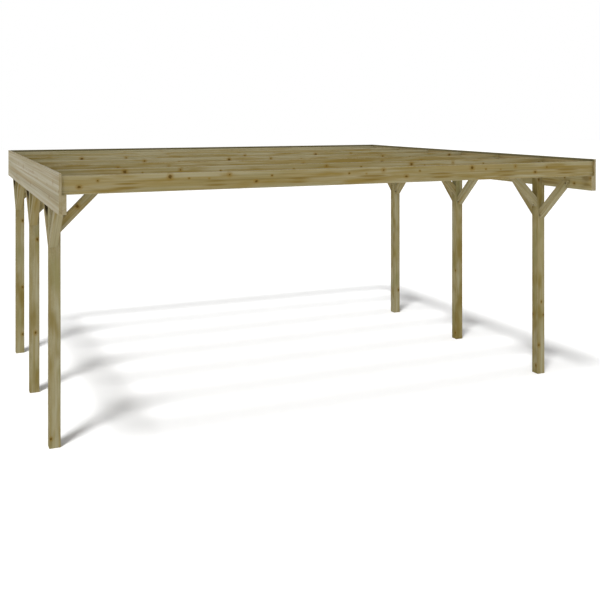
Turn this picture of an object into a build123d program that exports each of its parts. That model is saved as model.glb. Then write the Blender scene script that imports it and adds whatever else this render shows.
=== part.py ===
from build123d import *
import os
from math import hypot

# Open double carport frame in planed timber, millimetres.
# +X is to the right seen from the front, +Y runs to the back and +Z is up.
# The origin lies on the ground in the middle of the frame.

# Overall frame
frame_width = 5000  # over the outer faces of the posts, and the length of a joist
clear_height = 1965  # ground to the underside of the purlins and fascias
post_pitch = 1485  # between post centres along a side
end_overhang = 765  # end post centre to the end of the fascia

# Timber sections
post_width = 90
purlin_thickness = 35
purlin_height = 145
joist_thickness = 45
joist_height = 140
fascia_thickness = 21
fascia_rise = 20  # fascia top above the joist tops
brace_width = 70

# Knee braces, measured along their lower edge from the post face to the tip
inward_brace_run = 367
inward_brace_rise = 367
side_brace_run = 427
side_brace_rise = 412
side_brace_lap = 72  # how far a side brace reaches up over the purlin

# Planing and cutting
post_ease = 4  # radius of the long edges of a post
timber_ease = 2.5  # radius of the long edges of the other timbers
cut_overrun = 5  # notches are cut this far past the timber

# Worked out from the sizes above
half_width = frame_width / 2
post_line = half_width - post_width / 2
post_inner_face = half_width - post_width
half_length = post_pitch + end_overhang
joist_underside = clear_height + purlin_height
joist_middle = joist_underside + joist_height / 2
purlin_middle = clear_height + purlin_height / 2
fascia_height = purlin_height + joist_height + fascia_rise
fascia_middle = clear_height + fascia_height / 2
end_joist_place = half_length - fascia_thickness - joist_thickness / 2
half_bay = post_pitch / 2

sides = {"left": -1, "right": 1}
post_rows = {"front": -post_pitch, "middle": 0, "rear": post_pitch}
joist_places = {
    "front_joist": -end_joist_place,
    "front_post_joist": -post_pitch,
    "front_bay_joist": -half_bay,
    "middle_post_joist": 0,
    "rear_bay_joist": half_bay,
    "rear_post_joist": post_pitch,
    "rear_joist": end_joist_place,
}


def write_piece(piece, name):
    piece.label = name
    export_step(piece, f"parts/{name}.step")


def make_timber(end_plane, width, height, length):
    """Straight timber with eased long edges, sawn square at both ends."""
    with BuildPart() as timber:
        with BuildSketch(end_plane) as section:
            Rectangle(width, height)
            fillet(section.vertices(), timber_ease)
        extrude(amount=length)
    return timber.part


def make_post(side, row):
    """Square post with its head notched on the outer side as a seat for the purlin."""
    foot_plane = Plane((side * post_line, row, 0))
    notch_width = purlin_thickness + cut_overrun
    notch_middle = side * (post_width / 2 - purlin_thickness + notch_width / 2)
    with BuildPart() as post:
        with BuildSketch(foot_plane) as section:
            Rectangle(post_width, post_width)
            fillet(section.vertices(), post_ease)
        extrude(amount=joist_underside)
        with BuildSketch(foot_plane.offset(clear_height)):
            with Locations((notch_middle, 0)):
                Rectangle(notch_width, post_width + 2 * cut_overrun)
        extrude(amount=purlin_height + cut_overrun, mode=Mode.SUBTRACT)
    return post.part


def brace_outline(run, rise):
    """Corners of a brace seen square on: an upright cut at its foot, a level one at its head.

    The origin is on the post face at the height of the head, x leads away from the post.
    """
    length = hypot(run, rise)
    level_cut = brace_width * length / rise
    upright_cut = brace_width * length / run
    return [(0, -rise), (run, 0), (run - level_cut, 0), (0, upright_cut - rise)]


def make_inward_brace(side, row):
    """Brace from the inner face of a post up to the joist above it."""
    head = (side * post_inner_face, row, joist_underside)
    head_plane = Plane(head, x_dir=(-side, 0, 0), z_dir=(0, side, 0))
    slope = Axis(head, (-side * inward_brace_run, 0, inward_brace_rise))
    with BuildPart() as brace:
        with BuildSketch(head_plane):
            with BuildLine():
                Polyline(*brace_outline(inward_brace_run, inward_brace_rise), close=True)
            make_face()
        extrude(amount=brace_width / 2, both=True)
        fillet(brace.edges().filter_by(slope), timber_ease)
    return brace.part


def make_side_brace(side, row, end):
    """Brace along a side, flush with the post outside, its head halved over the purlin.

    end is -1 for a brace that leads to the front and 1 for one that leads to the back.
    """
    head = (side * (half_width - brace_width / 2), row + end * post_width / 2, clear_height + side_brace_lap)
    head_plane = Plane(head, x_dir=(0, end, 0), z_dir=(end, 0, 0))
    slope = Axis(head, (0, end * side_brace_run, side_brace_rise))
    outward = side * end  # 1 where the plane looks out of the frame
    with BuildPart() as brace:
        with BuildSketch(head_plane):
            with BuildLine():
                Polyline(*brace_outline(side_brace_run, side_brace_rise), close=True)
            make_face()
        extrude(amount=brace_width / 2, both=True)
        fillet(brace.edges().filter_by(slope), timber_ease)
        with BuildSketch(head_plane.offset(outward * (brace_width / 2 + cut_overrun))):
            with Locations((side_brace_run / 2, (cut_overrun - side_brace_lap) / 2)):
                Rectangle(side_brace_run + 2 * cut_overrun, side_brace_lap + cut_overrun)
        extrude(amount=-outward * (purlin_thickness + cut_overrun), mode=Mode.SUBTRACT)
    return brace.part


os.makedirs("parts", exist_ok=True)

# Posts, each with a brace inward, one to the front and one to the back
for side_name, side in sides.items():
    for row_name, row in post_rows.items():
        post_name = f"{side_name}_{row_name}"
        write_piece(make_post(side, row), f"{post_name}_post")
        write_piece(make_inward_brace(side, row), f"{post_name}_inward_brace")
        write_piece(make_side_brace(side, row, -1), f"{post_name}_forward_brace")
        write_piece(make_side_brace(side, row, 1), f"{post_name}_backward_brace")

# Purlins along the sides, in the post notches, ending against the rear fascia
for side_name, side in sides.items():
    purlin_line = side * (half_width - purlin_thickness / 2)
    purlin_end = Plane((purlin_line, -half_length, purlin_middle), x_dir=(1, 0, 0), z_dir=(0, 1, 0))
    purlin_length = 2 * half_length - fascia_thickness
    purlin = make_timber(purlin_end, purlin_thickness, purlin_height, purlin_length)
    write_piece(purlin, f"{side_name}_purlin")

# Joists across the frame, on the purlins and post heads
for joist_name, joist_place in joist_places.items():
    joist_end = Plane((-half_width, joist_place, joist_middle), x_dir=(0, 1, 0), z_dir=(1, 0, 0))
    joist = make_timber(joist_end, joist_thickness, joist_height, frame_width)
    write_piece(joist, joist_name)

# Fascias outside the purlins and joist ends
for side_name, side in sides.items():
    fascia_line = side * (half_width + fascia_thickness / 2)
    fascia_end = Plane((fascia_line, -half_length, fascia_middle), x_dir=(1, 0, 0), z_dir=(0, 1, 0))
    side_fascia = make_timber(fascia_end, fascia_thickness, fascia_height, 2 * half_length)
    write_piece(side_fascia, f"{side_name}_fascia")

# Fascia across the back, between the side fascias
rear_fascia_line = half_length - fascia_thickness / 2
rear_fascia_end = Plane((-half_width, rear_fascia_line, fascia_middle), x_dir=(0, 1, 0), z_dir=(1, 0, 0))
rear_fascia = make_timber(rear_fascia_end, fascia_thickness, fascia_height, frame_width)
write_piece(rear_fascia, "rear_fascia")
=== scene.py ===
import bmesh
import bpy
import math
import numpy as np
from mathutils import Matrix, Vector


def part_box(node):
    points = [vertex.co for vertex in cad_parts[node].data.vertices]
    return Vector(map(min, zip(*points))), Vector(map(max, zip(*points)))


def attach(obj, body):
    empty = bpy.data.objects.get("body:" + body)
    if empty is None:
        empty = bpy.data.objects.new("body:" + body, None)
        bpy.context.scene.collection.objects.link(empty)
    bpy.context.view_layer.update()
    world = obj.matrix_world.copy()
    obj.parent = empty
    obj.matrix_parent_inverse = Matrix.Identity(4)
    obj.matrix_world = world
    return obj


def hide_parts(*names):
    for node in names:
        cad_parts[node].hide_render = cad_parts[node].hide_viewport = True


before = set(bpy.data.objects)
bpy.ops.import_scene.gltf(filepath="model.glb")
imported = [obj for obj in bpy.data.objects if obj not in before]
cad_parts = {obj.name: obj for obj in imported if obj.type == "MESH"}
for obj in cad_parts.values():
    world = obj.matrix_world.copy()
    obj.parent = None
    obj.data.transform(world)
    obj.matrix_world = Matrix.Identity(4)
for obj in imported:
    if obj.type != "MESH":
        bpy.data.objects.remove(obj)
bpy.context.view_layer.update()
scene = bpy.context.scene
woodSeed = 1252
dice = np.random.default_rng(woodSeed)  # draws where the pith lies in each post and brace
axisX, axisY, axisZ = np.eye(3)
print("frame loaded, timbers:", len(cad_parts))


# timbers: an eased section carried along a line, ring after ring

edges = {
    "band": 0.007, "steps": 4,  # flat strip beside an eased edge that wears with it, facets in the edge
    "sharp": 40, "merge": 1e-6, "speck": 1e-7,  # degrees, metres, metres
}
grainOf = {}  # node: middle of its box, axes (along, across, up) and where the middle lies in its tree
finishOf = {}  # finished piece: name of its wood or steel


def corners(node):
    low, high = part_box(node)
    return np.array(low), np.array(high)


def easedSection(wide, deep, ease, stops=(), marks=()):
    # corner centre + ease * (cos, sin) over a quarter turn at each corner, flats with a point a band from
    # each end; stops are further points on the two flats that run across and marks on the two that stand
    # upright; the second result is 1 on the eased edges
    arc = np.linspace(0, math.pi / 2, edges["steps"] + 1)
    flatX, flatY = wide / 2 - ease, deep / 2 - ease
    endX, endY = flatX - edges["band"], flatY - edges["band"]
    level = np.sort(np.concatenate([[-endX, endX], stops]))
    upright = np.sort(np.concatenate([[-endY, endY], marks]))
    flats = [
        np.stack([level[::-1], np.full(len(level), deep / 2)], 1),
        np.stack([np.full(len(upright), -wide / 2), upright[::-1]], 1),
        np.stack([level, np.full(len(level), -deep / 2)], 1),
        np.stack([np.full(len(upright), wide / 2), upright], 1),
    ]
    points, worn = [], []
    for turn, (signX, signY) in enumerate(((1, 1), (-1, 1), (-1, -1), (1, -1))):
        angle = arc + turn * math.pi / 2
        bow = ease * np.stack([np.cos(angle), np.sin(angle)], 1)
        points += [np.array([signX * flatX, signY * flatY]) + bow, flats[turn]]
        worn += [np.ones(len(bow)), np.zeros(len(flats[turn]))]
    return np.concatenate(points), np.concatenate(worn)


def carry(origin, axes, stations, sections):
    # point = origin + station * along + section x * across + section y * up
    along, across, up = axes
    rings = []
    for station, section in zip(stations, sections):
        reach = np.broadcast_to(station, len(section))
        rings.append(origin + reach[:, None] * along + section[:, :1] * across + section[:, 1:] * up)
    return np.stack(rings)


def joinRings(rings, points):
    # each quad takes a point of a ring, the next point round, and the same two on the next ring
    index = np.arange(rings * points).reshape(rings, points)
    here, there = index[:-1], index[1:]
    quads = np.stack([here, np.roll(here, -1, 1), np.roll(there, -1, 1), there], -1).reshape(-1, 4)
    return index, quads


def tidyMesh(mesh, sharp):
    work = bmesh.new()
    work.from_mesh(mesh)
    bmesh.ops.remove_doubles(work, verts=work.verts, dist=edges["merge"])
    bmesh.ops.dissolve_degenerate(work, edges=work.edges, dist=edges["speck"])
    bmesh.ops.recalc_face_normals(work, faces=work.faces)
    work.to_mesh(mesh)
    work.free()
    mesh.polygons.foreach_set("use_smooth", np.ones(len(mesh.polygons), bool))
    mesh.set_sharp_from_angle(angle=math.radians(sharp))


def addPiece(name, mesh, finish):
    piece = bpy.data.objects.new(name, mesh)
    scene.collection.objects.link(piece)
    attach(piece, "root")
    finishOf[piece] = finish
    return piece


def timberPiece(node, rings, worn, axes, start, wood, tone=0.0, darkBand=0.0):
    # rings is (stations, points, 3): quads join each ring to the next and one face closes each end;
    # start is where the middle of the timber lies in its tree: along the stem, across and up from the pith;
    # worn, tone and the dark band are one value for each point, for each point of the section or for them
    # all;
    # the dark band is painted shade on the side braces and a dark strip inside the fascias
    shape = rings.shape[:2]
    index, quads = joinRings(*shape)
    faces = quads.tolist() + [index[0][::-1].tolist(), index[-1].tolist()]
    mesh = bpy.data.meshes.new(node + "_timber")
    mesh.from_pydata(rings.reshape(-1, 3).tolist(), [], faces)
    for name, values in (("edge", worn), ("tone", tone), ("darkBand", darkBand)):
        values = np.broadcast_to(values, shape).astype(np.float32).ravel()
        mesh.attributes.new(name, "FLOAT", "POINT").data.foreach_set("value", values)
    slots = np.repeat([0, 1], [len(quads), 2]).astype(np.int32)  # the two ends are sawn
    mesh.polygons.foreach_set("material_index", slots)
    tidyMesh(mesh, edges["sharp"])
    low, high = corners(node)
    middle, axes = (low + high) / 2, np.array(axes, float)
    points = np.empty(len(mesh.vertices) * 3, np.float32)
    mesh.vertices.foreach_get("co", points)
    grain = (points.reshape(-1, 3) - middle) @ axes.T + start
    held = mesh.attributes.new("grain", "FLOAT_VECTOR", "POINT").data
    held.foreach_set("vector", grain.astype(np.float32).ravel())
    piece = addPiece(node + "_timber", mesh, wood)
    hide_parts(node)
    grainOf[node] = (middle, axes, np.array(start))


# knots of the sawn boards: a pattern that all of them share, each from another place on
pattern = {
    "length": 2.786, "pith": 0.060, "face": 0.0375,  # pith to the middle of a board, pith to its near face
    "knots": [  # along the pattern, height on the near face, radius, fading
        (0.100, -0.016, 0.0105, 0.0), (0.236, 0.027, 0.0065, 0.1), (0.786, 0.040, 0.0115, 0.0),
        (0.936, 0.025, 0.0060, 0.2), (1.100, 0.019, 0.0070, 0.6), (1.266, 0.044, 0.0120, 0.5),
        (1.493, -0.016, 0.0100, 0.0), (1.629, 0.027, 0.0065, 0.1), (2.329, 0.025, 0.0065, 0.1),
        (2.493, 0.019, 0.0070, 0.6), (2.659, 0.044, 0.0120, 0.4)],
    "flamesEvery": 0.6965,  # brown flames come back after this length
    "flames": [  # along, height, half length, half height
        (0.46, -0.002, 0.115, 0.009), (0.46, -0.033, 0.115, 0.011)],
    "purlinFlames": [(0.62, 0.043, 0.055, 0.022), (0.62, -0.017, 0.05, 0.018)],  # more on the purlins, brown figure that also stands in as a painted shadow of the front joist on the right purlin's inner face
}
stem = {"patterns": 3, "cut": 0}  # pattern lengths from one timber to the next, timbers cut so far


def nextStem(shift):  # each timber is cut from its own stretch of the stem
    stem["cut"] += 1
    return stem["cut"] * stem["patterns"] * pattern["length"] + shift


seatHeight, purlinInner = corners("right_purlin")[0][[2, 0]]  # underside and inner face of a purlin
posts = {
    "ease": 0.004, "footEase": 0.002, "pithDrift": 0.012,
    "tones": {  # below 0 paler, above darker
        "left_front_post": 0.0, "left_middle_post": 0.02, "left_rear_post": 0.05,
        "right_front_post": 0.03, "right_middle_post": 0.05, "right_rear_post": -0.01},
}


def postTimber(side, node):
    # square section up to the purlin seat, then the same section cut back to the purlin's inner face
    low, high = corners(node)
    size, middle = high - low, (low + high) / 2
    notch = purlinInner - abs(middle[0])
    axes = (axisZ, side * axisX, side * axisY)
    full, worn = easedSection(size[0], size[1], posts["ease"], [notch])
    trim = posts["footEase"]
    small = full * (1 - 2 * trim / size[0])
    cut = np.stack([np.minimum(full[:, 0], notch), full[:, 1]], 1)
    origin = np.array([middle[0], middle[1], low[2]])
    rings = carry(origin, axes, [0, trim, seatHeight, seatHeight, high[2]], [small, full, full, cut, cut])
    pith = dice.uniform(-posts["pithDrift"], posts["pithDrift"], 2)
    tone = posts["tones"][node]
    timberPiece(node, rings, worn, axes, (nextStem(0.0), *pith), "postWood", tone)


braces = {
    "ease": 0.0025, "pithDrift": 0.03,
    "darkBand": (0.06, 0.12),  # painted shade on the upper face of a side brace, in the corner below the purlin: full down to, gone at
    "tones": {
        "left_front_forward_brace": -0.1, "left_front_inward_brace": -0.05,
        "right_front_forward_brace": -0.06, "right_front_inward_brace": -0.05},
}
screws = {
    "radius": 0.008, "rise": 0.0026, "sunk": 0.001, "recess": 0.003, "recessDepth": 0.0018,
    "dome": [(1.0, 0.3), (0.88, 0.75), (0.62, 1.0)],  # shares of the radius and of the rise
    "mouth": [(1.05, 1.0), (1.0, 0.9)],  # shares of the recess and of the rise
    "taper": 0.9,  # share of the recess left at its bottom
    "facets": 24, "points": 6, "pointDepth": 0.12,  # facets round the head, points of the star recess
    "sharp": 35,
    "sideHead": (0.034, 0.020),  # in from the tip and down
    "sideFoot": (0.012, 0.031),  # out from the foot and up
    "inwardHead": 0.045, "inwardFoot": 0.022,  # along the lower face from its ends
}


def braceTimber(node, lead, across, lapped):
    # section carried up the slope; each of its lines starts on the post face and ends at the head level,
    # and a lapped head is cut back to the purlin's inner face
    low, high = corners(node)
    size, middle = high - low, (low + high) / 2
    run, rise, wide = abs(size @ lead), size[2], abs(size @ across)
    slope = math.hypot(run, rise)
    along = (lead * run + axisZ * rise) / slope
    up = (axisZ * run - lead * rise) / slope
    axes = (along, across, up)
    postFace = (low if lead.sum() > 0 else high) * np.abs(lead)
    foot = postFace + middle * np.abs(across) + axisZ * low[2]
    origin = foot + up * wide / 2
    lap = purlinInner - abs(middle @ across)
    section, worn = easedSection(wide, wide, braces["ease"], [lap] if lapped else [])
    lean = section[:, 1]
    start = -((origin - foot) @ lead + lean * (up @ lead)) / (along @ lead)

    def level(height):  # station where each line of the section reaches a height
        return (height - origin[2] - lean * up[2]) / along[2]

    stations, sections, darkBand = [start, level(high[2])], [section, section], 0.0
    if lapped:
        cut = np.stack([np.minimum(section[:, 0], lap), lean], 1)
        full, gone = braces["darkBand"]
        heights = [seatHeight - gone, seatHeight - full, seatHeight, seatHeight, high[2]]
        stations = [start] + [level(height) for height in heights]
        sections = [section, section, section, section, cut, cut]
        darkBand = np.outer([0, 0, 1, 1, 1, 1], lean > wide / 2 - braces["ease"])  # painted shade, on the upper face alone
    pith = dice.uniform(-braces["pithDrift"], braces["pithDrift"], 2)
    rings = carry(origin, axes, stations, sections)
    tone = braces["tones"].get(node, 0.0)
    timberPiece(node, rings, worn, axes, (nextStem(0.0), *pith), "braceWood", tone, darkBand)
    if lapped:  # screws on the inner face
        inner = foot - across * wide / 2
        inFrom, downFrom = screws["sideHead"]
        outFrom, upFrom = screws["sideFoot"]
        headPoint = inner + lead * (run - inFrom) + axisZ * (rise - downFrom)
        footPoint = inner + lead * outFrom + axisZ * upFrom
        screwHeads(node, [headPoint, footPoint], -across)
    else:  # screws up through the lower face
        headPoint = foot + along * (slope - screws["inwardHead"])
        footPoint = foot + along * screws["inwardFoot"]
        screwHeads(node, [headPoint, footPoint], -up)


def screwHeads(node, places, outward):
    # lathe: point = place + radius * (cos, sin) in the face + height * outward; the radius of the recess
    # swells and shrinks with the cosine of its points times the angle
    rise, sunk, rim, recess = screws["rise"], screws["sunk"], screws["radius"], screws["recess"]
    bottom = rise - screws["recessDepth"]
    profile = [(0, -sunk, 0), (rim, -sunk, 0)]  # radius, height, share of the star
    profile += [(share * rim, height * rise, 0) for share, height in screws["dome"]]
    profile += [(share * recess, height * rise, 1) for share, height in screws["mouth"]]
    profile = np.array(profile + [(screws["taper"] * recess, bottom, 1), (0, bottom, 0)])
    angle = np.linspace(0, 2 * math.pi, screws["facets"], endpoint=False)
    star = 1 + screws["pointDepth"] * profile[:, 2:] * np.cos(screws["points"] * angle)
    radius = profile[:, :1] * star
    sideways = np.cross(outward, axisY)  # no brace has its screws on a face to the front or back
    other = np.cross(outward, sideways)
    head = (radius * np.cos(angle))[..., None] * sideways + (radius * np.sin(angle))[..., None] * other
    head = head + (profile[:, 1:2] * np.ones(len(angle)))[..., None] * outward
    index, quads = joinRings(*radius.shape)
    points = np.concatenate([head.reshape(-1, 3) + place for place in places])
    faces = np.concatenate([quads + index.size * step for step in range(len(places))])
    mesh = bpy.data.meshes.new(node + "_screws")
    mesh.from_pydata(points.tolist(), [], faces.tolist())
    tidyMesh(mesh, screws["sharp"])
    addPiece(node + "_screws", mesh, "screwSteel")


sides = {"left": -1, "right": 1}
for sideName, side in sides.items():
    for rowName in ("front", "middle", "rear"):
        place = f"{sideName}_{rowName}"
        postTimber(side, place + "_post")
        braceTimber(place + "_inward_brace", -side * axisX, side * axisY, False)
        braceTimber(place + "_forward_brace", -axisY, side * axisX, True)
        braceTimber(place + "_backward_brace", axisY, side * axisX, True)
print("posts and braces cut")

boards = {
    "ease": 0.0025, "endEase": 0.0012,
    "fasciaPith": (0.09, 0.03), "sideShift": 0.4, "rearShift": 1.3,  # fascias: their pith, and the pattern
    "innerShadeTone": 0.19, "darkBandFade": 0.004,  # painted shade inside a fascia, and how soon its dark upper strip fades
    # the right purlin's paler tone is painted light against the shade of the joists on its inner face
    "purlinShift": {"left": 1.05, "right": 0.7085}, "purlinTone": {"left": 0.0, "right": -0.08},
    "joists": {  # where each starts in the pattern, the height of its pith over its middle, its tone; the paler tones further back are painted light against the shade between the joists
        "front": (2.473, 0.0, 0.0), "front_post": (2.672, 0.0, 0.0), "front_bay": (2.58, 0.02, 0.08),
        "middle_post": (1.246, 0.0, -0.02), "rear_bay": (2.672, 0.0, -0.015),
        "rear_post": (0.61, 0.02, -0.045), "rear": (1.9, 0.02, -0.12)},
}
joistTop = corners("front_joist")[1][2]  # the fascias stand above it, with a dark strip inside


def straightTimber(node, axes, pith, shift, wood, tone=0.0, inward=0):
    # one section from end to end, drawn in a little at both ends;
    # inward is the way to the inner side of a fascia along its thickness, 0 for the other timbers
    low, high = corners(node)
    along, across, up = axes
    size, middle = high - low, (low + high) / 2
    length, wide, deep = size @ along, size @ across, size @ up
    origin = middle - along * length / 2
    ease, trim = boards["ease"], boards["endEase"]
    darkBandFoot = joistTop - middle[2]
    marks = [darkBandFoot, darkBandFoot - boards["darkBandFade"]] if inward else []
    full, worn = easedSection(wide, deep, ease, marks=marks)
    small, _ = easedSection(wide - 2 * trim, deep - 2 * trim, ease - trim, marks=marks)
    # painted shade: the inner faces of the fascias take a darker tone, and a dark strip runs along the top of
    # them
    inside = inward * full[:, 0] > wide / 2 - ease
    tone = np.where(inside, boards["innerShadeTone"], tone)
    darkBand = inside & (full[:, 1] >= darkBandFoot)
    rings = carry(origin, axes, [0, trim, length - trim, length], [small, full, full, small])
    timberPiece(node, rings, worn, axes, (nextStem(shift), *pith), wood, tone, darkBand)


def fasciaBoard(node, axes, shift, inward):
    straightTimber(node, axes, boards["fasciaPith"], shift, "fasciaWood", inward=inward)


lengthways, crossways = (axisY, axisX, axisZ), (axisX, axisY, axisZ)
for sideName, side in sides.items():
    purlinPith = (side * pattern["pith"], 0.0)
    shift, tone = boards["purlinShift"][sideName], boards["purlinTone"][sideName]
    straightTimber(sideName + "_purlin", lengthways, purlinPith, shift, "purlinWood", tone)
    fasciaBoard(sideName + "_fascia", lengthways, boards["sideShift"], -side)
fasciaBoard("rear_fascia", crossways, boards["rearShift"], -1)
for joistName, (shift, height, tone) in boards["joists"].items():
    joistPith = (pattern["pith"], height)
    straightTimber(joistName + "_joist", crossways, joistPith, shift, "joistWood", tone)
print("beams laid")


# small helpers for node trees

noises = {  # detail, roughness
    "plain": (2.0, 0.5), "streaky": (4.0, 0.6), "fibrous": (2.0, 0.6), "stained": (3.0, 0.5),
}
noiseMiddle = 0.5


def setInput(tree, socket, value):
    if isinstance(value, bpy.types.NodeSocket):
        tree.links.new(value, socket)
    else:
        socket.default_value = value


def addNode(tree, kind, inputs=None, **settings):
    made = tree.nodes.new(kind)
    for key, value in settings.items():
        setattr(made, key, value)
    for key, value in (inputs or {}).items():
        setInput(tree, made.inputs[key], value)
    return made


def newTree(name):
    material = bpy.data.materials.new(name)
    material.use_nodes = True
    material.node_tree.nodes.clear()
    return material, material.node_tree


def calc(tree, operation, *values):
    return addNode(tree, "ShaderNodeMath", dict(enumerate(values)), operation=operation).outputs[0]


def vector(tree, operation, *values):
    made = addNode(tree, "ShaderNodeVectorMath", dict(enumerate(values)), operation=operation)
    return made.outputs["Value" if operation == "LENGTH" else "Vector"]


def triple(tree, x, y, z):
    return addNode(tree, "ShaderNodeCombineXYZ", {0: x, 1: y, 2: z}).outputs[0]


def attribute(tree, name, output="Fac"):
    return addNode(tree, "ShaderNodeAttribute", attribute_name=name).outputs[output]


def noise(tree, place, waves, kind="plain"):  # waves to a metre each way
    detail, rough = noises[kind]
    place = vector(tree, "MULTIPLY", place, waves)
    inputs = {"Vector": place, "Scale": 1.0, "Detail": detail, "Roughness": rough}
    return addNode(tree, "ShaderNodeTexNoise", inputs, noise_dimensions="3D").outputs["Fac"]


def spread(tree, value, span, to=(0.0, 1.0)):
    inputs = {"Value": value, "From Min": span[0], "From Max": span[1], "To Min": to[0], "To Max": to[1]}
    return addNode(tree, "ShaderNodeMapRange", inputs, interpolation_type="SMOOTHSTEP").outputs[0]


def upTo(tree, value, span, most):
    return spread(tree, value, span, (0.0, most))


def blend(tree, share, first, second):
    mixer = addNode(tree, "ShaderNodeMix", data_type="RGBA")
    for key, value in ((0, share), (6, first), (7, second)):  # the node's share and its two colours
        setInput(tree, mixer.inputs[key], value)
    return mixer.outputs[2]


def relief(tree, height, strength, depth):
    inputs = {"Strength": strength, "Distance": depth, "Height": height}
    return addNode(tree, "ShaderNodeBump", inputs).outputs[0]


def coat(tree, inputs):
    shader = addNode(tree, "ShaderNodeBsdfPrincipled", inputs).outputs[0]
    addNode(tree, "ShaderNodeOutputMaterial", {"Surface": shader})


def paint(red, green, blue):  # screen colour, 0 to 255, as the light it stands for
    shares = np.array([red, green, blue]) / 255.0
    light = np.where(shares <= 0.04045, shares / 12.92, ((shares + 0.055) / 1.055) ** 2.4)
    return (*light.tolist(), 1.0)


# wood: rings round a pith line, long streaks and fibres, and branches that grow straight out of the pith

figure = {  # the same in every wood; a span is where a tint sets in and where it is full
    "fibres": (9.0, 420.0, 420.0), "ragged": (60.0, 90.0, 90.0), "ringWaves": (0.45, 5.0, 5.0),
    "streakSpan": (0.36, 0.62), "greenSpan": (0.45, 0.7), "amberSpan": (0.46, 0.72),
    "lineSpan": (0.52, 0.74), "fibreSpan": (0.5, 0.75), "raggedSpan": (0.35, 0.65), "roughSpan": (0.3, 0.7),
    "wornLeast": 0.15,
    "lateSpan": (0.4, 0.9), "lateEnd": (1.0, 0.94),  # of a ring: late wood sets in slowly and ends sharply
    "knotFray": 0.9, "coreSpan": (1.05, 0.5), "haloSpan": (2.6, 0.6), "coreShare": 0.95, "haloShare": 0.7,
    "flameFray": 2.6, "flameSpan": (1.3, 0.3), "far": 9.0,  # in radii; far is past every knot and flame
    "ringRelief": 0.5, "fibreRelief": 0.8, "bump": (0.35, 0.0006), "refraction": 1.45,
}


def readGrain(tree):  # place in the tree, its parts, and the way out from the pith
    grain = attribute(tree, "grain", "Vector")
    parts = addNode(tree, "ShaderNodeSeparateXYZ", {0: grain}).outputs
    return grain, parts, triple(tree, 0.0, parts["Y"], parts["Z"])


def lateWood(tree, radius, ringWidth):
    # place in a ring = radius over ring width, less its whole part
    ring = calc(tree, "FRACT", calc(tree, "DIVIDE", radius, ringWidth))
    grown, ended = spread(tree, ring, figure["lateSpan"]), spread(tree, ring, figure["lateEnd"])
    return calc(tree, "MULTIPLY", grown, ended)


def fray(tree, away, uneven, amount):  # a distance with an uneven rim
    return calc(tree, "MULTIPLY_ADD", uneven, amount, calc(tree, "SUBTRACT", away, amount / 2))


def nearestBranch(tree, place, branches, stretch):
    # distance from a branch line = length of (point - where it leaves the pith) x its direction, in branch
    # radii, with the grain's own length drawn in, so that a knot is longer than it is wide
    nearest = figure["far"]
    for along, across, up, fading in branches:
        offset = vector(tree, "SUBTRACT", place, (along, 0.0, 0.0))
        offset = vector(tree, "MULTIPLY", offset, (1 / stretch, 1.0, 1.0))
        away = vector(tree, "LENGTH", vector(tree, "CROSS_PRODUCT", offset, (0.0, across, up)))
        nearest = calc(tree, "MINIMUM", nearest, calc(tree, "ADD", away, fading))
    return nearest


def flameShare(tree, parts, flames, uneven):
    # long spots: distance from a spot's middle in half lengths and half heights, frayed by the streaks
    along = calc(tree, "WRAP", parts["X"], pattern["flamesEvery"], 0.0)
    place = triple(tree, along, 0.0, parts["Z"])
    nearest = figure["far"]
    for middle, height, halfLength, halfHeight in flames:
        offset = vector(tree, "SUBTRACT", place, (middle, 0.0, height))
        offset = vector(tree, "MULTIPLY", offset, (1 / halfLength, 0.0, 1 / halfHeight))
        nearest = calc(tree, "MINIMUM", nearest, vector(tree, "LENGTH", offset))
    return spread(tree, fray(tree, nearest, uneven, figure["flameFray"]), figure["flameSpan"])


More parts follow.
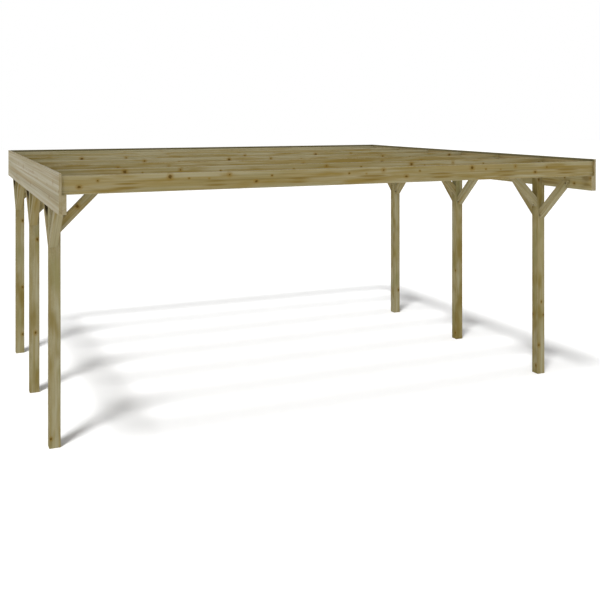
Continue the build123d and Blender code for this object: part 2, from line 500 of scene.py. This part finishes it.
def mixWood(name, looks, branches, onBoards):
    wood, tree = newTree(name)
    grain, parts, outward = readGrain(tree)
    radius = vector(tree, "LENGTH", outward)
    tone = attribute(tree, "tone")
    streak = calc(tree, "ADD", noise(tree, grain, looks["streaks"], "streaky"), tone)
    patch = calc(tree, "ADD", noise(tree, grain, looks["patches"]), tone)
    green = noise(tree, grain, looks["greens"])
    line = noise(tree, grain, looks["lines"])
    fibre = noise(tree, grain, figure["fibres"], "fibrous")
    ragged = noise(tree, grain, figure["ragged"])

    along = calc(tree, "WRAP", parts["X"], pattern["length"], 0.0) if onBoards else parts["X"]
    away = nearestBranch(tree, triple(tree, along, parts["Y"], parts["Z"]), branches, looks["knotStretch"])
    away = fray(tree, away, ragged, figure["knotFray"])
    core = spread(tree, away, figure["coreSpan"])
    halo = spread(tree, away, figure["haloSpan"])

    # growth rings: distance from the pith, bent by slow noise and pushed aside by the branches
    bend = calc(tree, "SUBTRACT", noise(tree, grain, figure["ringWaves"]), noiseMiddle)
    bent = calc(tree, "MULTIPLY_ADD", bend, looks["ringBend"], radius)
    late = lateWood(tree, calc(tree, "MULTIPLY_ADD", halo, looks["knotPush"], bent), looks["ringWidth"])

    body = blend(tree, spread(tree, streak, figure["streakSpan"]), looks["pale"], looks["middle"])
    body = blend(tree, upTo(tree, green, figure["greenSpan"], looks["greenShare"]), body, looks["green"])
    body = blend(tree, upTo(tree, patch, figure["amberSpan"], looks["amberShare"]), body, looks["amber"])
    if onBoards:
        body = blend(tree, upTo(tree, radius, looks["heartSpan"], looks["heartShare"]), body, looks["amber"])
        flames = flameShare(tree, parts, looks["flames"], streak)
        body = blend(tree, calc(tree, "MULTIPLY", flames, looks["flameShare"]), body, looks["flame"])
    body = blend(tree, upTo(tree, line, figure["lineSpan"], looks["lineShare"]), body, looks["deep"])
    body = blend(tree, calc(tree, "MULTIPLY", late, looks["ringShare"]), body, looks["deep"])
    body = blend(tree, upTo(tree, fibre, figure["fibreSpan"], looks["fibreShare"]), body, looks["deep"])
    body = blend(tree, calc(tree, "MULTIPLY", halo, figure["haloShare"]), body, looks["knotRim"])
    body = blend(tree, calc(tree, "MULTIPLY", core, figure["coreShare"]), body, looks["knotHeart"])
    worn = spread(tree, ragged, figure["raggedSpan"], (figure["wornLeast"], looks["wornShare"]))
    body = blend(tree, calc(tree, "MULTIPLY", attribute(tree, "edge"), worn), body, looks["worn"])
    # the dark band: painted shade on the side braces, and a dark strip along the top of the fascias' inner
    # faces
    if "darkBand" in looks:
        darkBand = spread(tree, ragged, figure["raggedSpan"], looks["darkBandShares"])
        body = blend(tree, calc(tree, "MULTIPLY", attribute(tree, "darkBand"), darkBand), body, looks["darkBand"])

    height = calc(tree, "MULTIPLY", fibre, figure["fibreRelief"])
    height = calc(tree, "MULTIPLY_ADD", late, figure["ringRelief"], height)
    coat(tree, {
        "Base Color": body, "Roughness": spread(tree, streak, figure["roughSpan"], looks["roughness"]),
        "Normal": relief(tree, height, *figure["bump"]), "IOR": figure["refraction"],
        "Specular IOR Level": looks["gloss"]})
    return wood


def mixEnds(name, looks):
    # sawn ends: rings round the pith, saw marks, and dry cracks that follow directions out of the pith
    wood, tree = newTree(name)
    grain, _, outward = readGrain(tree)
    bend = noise(tree, grain, looks["waves"])
    bent = calc(tree, "MULTIPLY_ADD", bend, looks["ringBend"], vector(tree, "LENGTH", outward))
    late = lateWood(tree, bent, looks["ringWidth"])
    rays = vector(tree, "MULTIPLY", vector(tree, "NORMALIZE", outward), looks["rays"])
    crack = noise(tree, vector(tree, "ADD", rays, grain), looks["cracks"], "stained")
    saw = noise(tree, grain, looks["sawMarks"])
    body = blend(tree, spread(tree, bend, looks["shadeSpan"]), looks["pale"], looks["shade"])
    body = blend(tree, calc(tree, "MULTIPLY", late, looks["ringShare"]), body, looks["middle"])
    body = blend(tree, upTo(tree, saw, looks["sawSpan"], looks["sawShare"]), body, looks["middle"])
    body = blend(tree, upTo(tree, crack, looks["crackSpan"], looks["crackShare"]), body, looks["knotHeart"])
    coat(tree, {
        "Base Color": body, "Roughness": spread(tree, saw, figure["roughSpan"], looks["roughness"]),
        "Normal": relief(tree, saw, *looks["bump"]), "Specular IOR Level": looks["gloss"]})
    return wood


def mixSteel(name, looks):
    steel, tree = newTree(name)
    place = addNode(tree, "ShaderNodeTexCoord").outputs["Object"]
    stain = noise(tree, place, looks["stains"], "stained")
    coat(tree, {
        "Base Color": blend(tree, spread(tree, stain, looks["stainSpan"]), looks["dark"], looks["brown"]),
        "Metallic": looks["metal"], "Roughness": spread(tree, stain, looks["roughSpan"], looks["roughness"]),
        "Specular IOR Level": looks["gloss"]})
    return steel


treated = {  # greenish brown of pressure treated softwood
    "pale": paint(155, 147, 115), "middle": paint(142, 127, 82), "green": paint(134, 127, 88),
    "amber": paint(128, 107, 46), "flame": paint(116, 94, 37), "deep": paint(100, 83, 37),
    "worn": paint(164, 154, 122), "knotRim": paint(126, 98, 33), "knotHeart": paint(84, 61, 4),
    "streaks": (1.1, 42.0, 42.0), "patches": (2.4, 22.0, 22.0), "greens": (1.4, 9.0, 9.0),
    "lines": (0.7, 110.0, 110.0), "flames": pattern["flames"], "heartSpan": (0.060, 0.040),
    "greenShare": 0.5, "amberShare": 0.85, "heartShare": 0.3, "flameShare": 0.85, "lineShare": 0.45,
    "ringShare": 0.16, "fibreShare": 0.2, "wornShare": 0.5,
    "ringWidth": 0.0045, "ringBend": 0.014, "knotPush": 0.006, "knotStretch": 1.5,
    "roughness": (0.62, 0.8), "gloss": 0.2,
}
postLooks = treated | {  # the posts are patchier, in soft blots
    "pale": paint(157, 151, 122), "middle": paint(144, 133, 93), "green": paint(126, 121, 76),
    "amber": paint(119, 103, 49), "worn": paint(130, 117, 78),
    "streaks": (1.8, 34.0, 34.0), "patches": (3.2, 9.0, 9.0), "greens": (2.6, 7.0, 7.0),
    "greenShare": 0.7, "amberShare": 0.9, "lineShare": 0.25, "wornShare": 0.7, "gloss": 0.12,
}
fasciaLooks = treated | {  # the fascias are paler and greyer, a painted sheen of faces seen edge-on, with longer streaks
    "pale": paint(168, 160, 134), "middle": paint(151, 140, 106), "green": paint(145, 138, 107),
    "amber": paint(137, 118, 71), "flame": paint(136, 114, 66), "deep": paint(110, 95, 58),
    "streaks": (0.3, 46.0, 46.0), "patches": (0.5, 24.0, 24.0), "greens": (0.4, 10.0, 10.0),
    "lines": (0.25, 110.0, 110.0), "heartShare": 0.0, "flameShare": 0.2, "lineShare": 0.6,
    # a dark strip along the top of the inner face
    "darkBand": paint(89, 82, 46), "darkBandShares": (0.8, 1.0), "roughness": (0.55, 0.72), "gloss": 0.4,
}
braceLooks = treated | {
    # the dark band here is painted shade on the upper face of a side brace, in the corner under the purlin
    "worn": paint(134, 120, 80), "wornShare": 0.7, "darkBand": paint(44, 34, 10), "darkBandShares": (0.85, 1.0),
}
purlinLooks = treated | {  # the purlins are a little browner, and brighter as painted light against the shade under the joists
    "pale": paint(156, 145, 104), "middle": paint(150, 134, 83), "flame": paint(108, 86, 32),
    "flames": pattern["flames"] + pattern["purlinFlames"], "flameShare": 0.6,
}
endLooks = treated | {
    "pale": paint(151, 141, 113), "shade": paint(141, 129, 97), "shadeSpan": (0.35, 0.65),
    "waves": (1.0, 30.0, 30.0), "ringBend": 0.004, "ringShare": 0.3,
    "rays": (7.0, 7.0, 7.0), "cracks": (1.0, 1.0, 1.0), "crackSpan": (0.66, 0.7), "crackShare": 0.35,
    "sawMarks": (300.0, 40.0, 700.0), "sawSpan": (0.5, 0.75), "sawShare": 0.25,
    "bump": (0.4, 0.0008), "roughness": (0.75, 0.9), "gloss": 0.25,
}
steelLooks = {
    "dark": paint(48, 36, 20), "brown": paint(66, 48, 24),
    "stains": (160.0, 160.0, 160.0), "stainSpan": (0.4, 0.65),
    "roughSpan": (0.35, 0.65), "roughness": (0.6, 0.8), "metal": 0.15, "gloss": 0.2,
}
postKnots = {  # right of the middle, behind the middle, height, radius, fading
    "left_front_post": [(-0.031, -0.045, 0.080, 0.008, 0.0), (-0.023, -0.045, 1.727, 0.006, 0.3)],
    "left_middle_post": [(0.025, -0.045, 1.488, 0.010, 0.0), (0.008, -0.045, 0.583, 0.013, 0.2)],
    "left_rear_post": [(0.027, -0.045, 1.500, 0.010, 0.0), (0.025, -0.045, 0.747, 0.009, 0.0),
                       (0.028, -0.045, 0.213, 0.009, 0.0)],
    "right_front_post": [(0.003, -0.045, 0.749, 0.009, 0.0), (-0.045, 0.029, 0.611, 0.008, 0.0),
                         (-0.031, -0.045, 0.301, 0.011, 0.1), (-0.045, -0.016, 0.083, 0.012, 0.0),
                         (-0.031, -0.045, 2.024, 0.010, 0.1), (-0.045, 0.034, 1.732, 0.006, 0.1)],
    "right_middle_post": [(-0.045, -0.031, 0.826, 0.008, 0.0), (-0.045, -0.027, 0.073, 0.010, 0.1)],
    "right_rear_post": [(0.028, -0.045, 0.308, 0.013, 0.0)],
}
braceKnots = {"left_front_inward_brace": [(-0.0525, -0.035, 1.9515, 0.010, 0.0)]}  # as the post knots


def ownBranches(knotsOf):
    # direction of a branch = its place on the face less the pith, over its radius
    branches = []
    for node, knots in knotsOf.items():
        middle, axes, start = grainOf[node]
        for right, behind, height, radius, fading in knots:
            offset = np.array([right, behind, height - middle[2]])
            along, across, up = axes @ offset + start
            reach = math.hypot(across, up) * radius
            branches.append((float(along), float(across / reach), float(up / reach), fading))
    return branches


def boardBranches():
    branches = []
    for along, height, radius, fading in pattern["knots"]:
        reach = math.hypot(pattern["face"], height) * radius
        branches.append((along, pattern["face"] / reach, height / reach, fading))
    return branches


finishes = {
    "postWood": mixWood("postWood", postLooks, ownBranches(postKnots), False),
    "braceWood": mixWood("braceWood", braceLooks, ownBranches(braceKnots), False),
    "purlinWood": mixWood("purlinWood", purlinLooks, boardBranches(), True),
    "joistWood": mixWood("joistWood", treated, boardBranches(), True),
    "fasciaWood": mixWood("fasciaWood", fasciaLooks, boardBranches(), True),
    "screwSteel": mixSteel("screwSteel", steelLooks),
}
sawnEnds = mixEnds("sawnEnds", endLooks)
for piece, finish in finishOf.items():
    piece.data.materials.append(finishes[finish])
    if finish != "screwSteel":
        piece.data.materials.append(sawnEnds)
print("woods mixed")


# stage: white floor that keeps the shadow, one soft sun from the front left, two lamps for the floor alone

light = {
    "height": 63.0, "turn": -43.5,
    "key": {"strength": 1.15, "width": 10.5},
    "floorCore": {"strength": 1.45, "width": 10.5},  # the floor lamps: a sharper and a softer shadow
    "floorHalo": {"strength": 0.5, "width": 26.0},
    "zenith": 0.12, "horizon": 2.04, "fall": 3.0, "front": 0.3,  # sky: brightest low down, more so in front
}
floorLooks = {"size": 120.0, "shade": 0.98, "bounce": 0.82}  # how pale it looks, how much light it gives back


def makeFloor():
    half = floorLooks["size"] / 2
    mesh = bpy.data.meshes.new("floor")
    points = [(-half, -half, 0), (half, -half, 0), (half, half, 0), (-half, half, 0)]
    mesh.from_pydata(points, [], [(0, 1, 2, 3)])
    floor = bpy.data.objects.new("floor", mesh)
    scene.collection.objects.link(floor)
    paper, tree = newTree("floorPaper")
    seen = addNode(tree, "ShaderNodeLightPath").outputs["Is Camera Ray"]
    shown = addNode(tree, "ShaderNodeBsdfDiffuse", {"Color": (floorLooks["shade"],) * 3 + (1,)}).outputs[0]
    bounce = addNode(tree, "ShaderNodeBsdfDiffuse", {"Color": (floorLooks["bounce"],) * 3 + (1,)}).outputs[0]
    mixed = addNode(tree, "ShaderNodeMixShader", {0: seen, 1: bounce, 2: shown}).outputs[0]
    addNode(tree, "ShaderNodeOutputMaterial", {"Surface": mixed})
    mesh.materials.append(paper)
    return floor


def makeLamp(name, onto=None):
    lamp = bpy.data.lights.new(name, "SUN")
    lamp.energy = light[name]["strength"]
    lamp.angle = math.radians(light[name]["width"])
    holder = bpy.data.objects.new(name, lamp)
    holder.rotation_euler = (math.radians(90 - light["height"]), 0, math.radians(light["turn"]))
    scene.collection.objects.link(holder)
    if onto:  # light linking: the timbers still throw their shadow in this light
        lit = bpy.data.collections.new(name + "Onto")
        lit.objects.link(onto)
        holder.light_linking.receiver_collection = lit


def makeSky():
    # glow = zenith + horizon * (1 - height of the way) to the power of fall, stronger in front;
    # the camera and reflections see plain white
    world = bpy.data.worlds.new("sky")
    scene.world = world
    world.use_nodes = True
    tree = world.node_tree
    tree.nodes.clear()
    way = addNode(tree, "ShaderNodeTexCoord").outputs["Generated"]  # direction, for a world
    parts = addNode(tree, "ShaderNodeSeparateXYZ", {0: way}).outputs
    low = calc(tree, "SUBTRACT", 1.0, calc(tree, "ABSOLUTE", parts["Z"]))
    near = calc(tree, "POWER", low, light["fall"])
    near = calc(tree, "MULTIPLY", near, calc(tree, "MULTIPLY_ADD", parts["Y"], -light["front"], 1.0))
    glow = calc(tree, "MULTIPLY_ADD", near, light["horizon"], light["zenith"])
    path = addNode(tree, "ShaderNodeLightPath").outputs
    direct = calc(tree, "MAXIMUM", path["Is Camera Ray"], path["Is Glossy Ray"])
    direct = calc(tree, "MAXIMUM", direct, path["Is Transmission Ray"])
    strength = calc(tree, "MULTIPLY_ADD", direct, calc(tree, "SUBTRACT", 1.0, glow), glow)
    sky = addNode(tree, "ShaderNodeBackground", {"Color": (1, 1, 1, 1), "Strength": strength}).outputs[0]
    addNode(tree, "ShaderNodeOutputWorld", {"Surface": sky})


view = {
    "place": (-3.3534, -8.5311, 2.6890), "turn": -23.620,
    "lens": 50.248, "sensor": 36.0, "rise": -0.306848,
}


def makeCamera():  # level, with the picture shifted upright
    lens = bpy.data.cameras.new("camera")
    lens.lens, lens.sensor_width, lens.sensor_fit = view["lens"], view["sensor"], "HORIZONTAL"
    lens.shift_y = view["rise"]
    camera = bpy.data.objects.new("camera", lens)
    camera.location = view["place"]
    camera.rotation_euler = (math.pi / 2, 0, math.radians(view["turn"]))
    scene.collection.objects.link(camera)
    scene.camera = camera


floor = makeFloor()
makeLamp("key")
makeLamp("floorCore", floor)
makeLamp("floorHalo", floor)
makeSky()
makeCamera()
scene.view_settings.view_transform = "Standard"
print("stage set")
